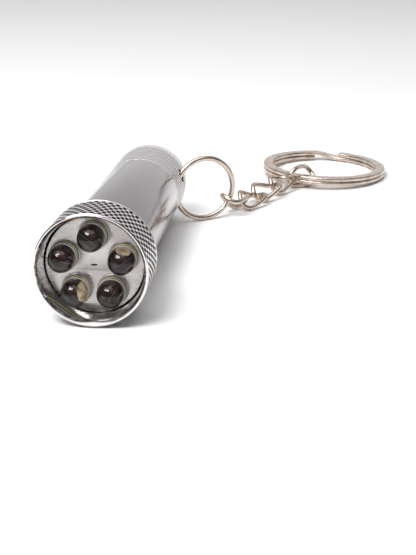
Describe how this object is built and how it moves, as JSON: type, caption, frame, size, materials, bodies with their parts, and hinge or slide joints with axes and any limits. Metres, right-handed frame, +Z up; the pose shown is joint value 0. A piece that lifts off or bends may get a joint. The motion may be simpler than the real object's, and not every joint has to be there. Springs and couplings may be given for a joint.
{
  "type": "keychain flashlight",
  "caption": "Knurled cylindrical keychain flashlight with recessed LEDs, a push-button tail, a wire key loop, a twisted-link chain and a flat split ring",
  "frame": {"origin": "middle of the footprint, on the surface the object lies on", "axes": "+Y runs from the light's front towards the tail and the ring, +X to the right seen from the front, +Z up"},
  "size_m": [0.067, 0.1288, 0.0218],
  "materials": {
    "chrome_head": "polished chrome, diamond knurl between smooth rims",
    "satin_barrel": "smooth satin anodised aluminium",
    "tail_metal": "fine diamond knurl with a polished rear rim",
    "plate_metal": "metallised disc, lightly brushed",
    "led_clear": "clear moulded epoxy with a yellow phosphor cup",
    "nickel_wire": "nickel plate, polished, slightly warm",
    "ring_steel": "nickel plate, fine lengthwise rolling marks",
    "spring_steel": "drawn spring wire",
    "spring_brass": "plated spring wire",
    "cell_can": "nickel-plated steel can",
    "sleeve_plastic": "white moulded plastic",
    "black_plastic": "black moulded plastic",
    "button_rubber": "black moulded rubber, fine grain",
    "seal_rubber": "black rubber seal",
    "board_green": "solder-masked board"
  },
  "bodies": {
    "barrel": {"barrel": "satin_barrel", "head_oring": "seal_rubber", "tail_oring": "seal_rubber"},
    "battery_pack": {"battery_sleeve": "sleeve_plastic", "button_cell_1": "cell_can", "button_cell_2": "cell_can", "button_cell_3": "cell_can", "button_cell_4": "cell_can"},
    "head": {"head_bezel": "chrome_head", "reflector_plate": "plate_metal", "led_1": "led_clear", "led_2": "led_clear", "led_3": "led_clear", "led_4": "led_clear", "led_5": "led_clear", "module_ring": "black_plastic", "led_board": "board_green", "front_spring": "spring_brass"},
    "switch": {"switch_body": "black_plastic", "rear_spring": "spring_steel"},
    "button": {"push_button": "button_rubber", "switch_plunger": "sleeve_plastic"},
    "tail_cap": {"tail_cap": "tail_metal"},
    "key_loop": {"key_loop": "nickel_wire"},
    "chain_link_1": {"chain_link_1": "nickel_wire"},
    "chain_link_2": {"chain_link_2": "nickel_wire"},
    "chain_link_3": {"chain_link_3": "nickel_wire"},
    "chain_link_4": {"chain_link_4": "nickel_wire"},
    "chain_link_5": {"chain_link_5": "nickel_wire"},
    "split_ring": {"split_ring": "ring_steel"}
  },
  "joints": [
    {"name": "pack_slide", "type": "slide", "parent": "barrel", "child": "battery_pack", "axis": [0, -0.9993, 0.0361], "range_m": [0, 0.0015]},
    {"name": "head_turn", "type": "hinge", "parent": "battery_pack", "child": "head", "pos_m": [-0.02275, -0.05288, 0.01075], "axis": [0, -0.9993, 0.0361], "range_deg": [0, 720]},
    {"name": "switch_slide", "type": "slide", "parent": "barrel", "child": "switch", "axis": [0, 0.9993, -0.0361], "range_m": [0, 0.0015]},
    {"name": "cap_turn", "type": "hinge", "parent": "switch", "child": "tail_cap", "pos_m": [-0.02275, -0.00092, 0.00887], "axis": [0, 0.9993, -0.0361], "range_deg": [0, 720]},
    {"name": "button_press", "type": "slide", "parent": "switch", "child": "button", "axis": [0, -0.9993, 0.0361], "range_m": [0, 0.0012], "stiffness_N_per_m": 1800, "springref_m": -0.0006},
    {"name": "loop_swing", "type": "hinge", "parent": "tail_cap", "child": "key_loop", "pos_m": [-0.01519, 0.00086, 0.00828], "axis": [0.0698, 0.036, 0.9969], "range_deg": [-35, 20]},
    {"name": "link_1_pivot", "type": "hinge", "parent": "key_loop", "child": "chain_link_1", "pos_m": [-0.00424, 0.00741, 0.00448], "axis": [0.3999, 0.2309, 0.887], "range_deg": [-20, 20]},
    {"name": "link_2_pivot", "type": "hinge", "parent": "chain_link_1", "child": "chain_link_2", "pos_m": [-0.00152, 0.01374, 0.00157], "axis": [0.6929, 0.1388, 0.7076], "range_deg": [-20, 20]},
    {"name": "link_3_pivot", "type": "hinge", "parent": "chain_link_2", "child": "chain_link_3", "pos_m": [0.00081, 0.02036, 0.00162], "axis": [0.9756, 0.2151, -0.0445], "range_deg": [-6, 20]},
    {"name": "link_4_pivot", "type": "hinge", "parent": "chain_link_3", "child": "chain_link_4", "pos_m": [0.00507, 0.0268, 0.00256], "axis": [0.9496, -0.1751, 0.2601], "range_deg": [-20, 20]},
    {"name": "link_5_pivot", "type": "hinge", "parent": "chain_link_4", "child": "chain_link_5", "pos_m": [0.00957, 0.03208, 0.00301], "axis": [0.3009, -0.9366, -0.1798], "range_deg": [-25, 20]},
    {"name": "split_ring_pivot", "type": "hinge", "parent": "chain_link_5", "child": "split_ring", "pos_m": [0.01163, 0.03448, 0.0006], "axis": [-0.9106, -0.4119, 0.034], "range_deg": [-15, 25]}
  ],
  "couplings": [
    {"joint": "head_turn", "follows": "pack_slide", "rad_per_m": 8377.6},
    {"joint": "cap_turn", "follows": "switch_slide", "rad_per_m": 8377.6}
  ]
}
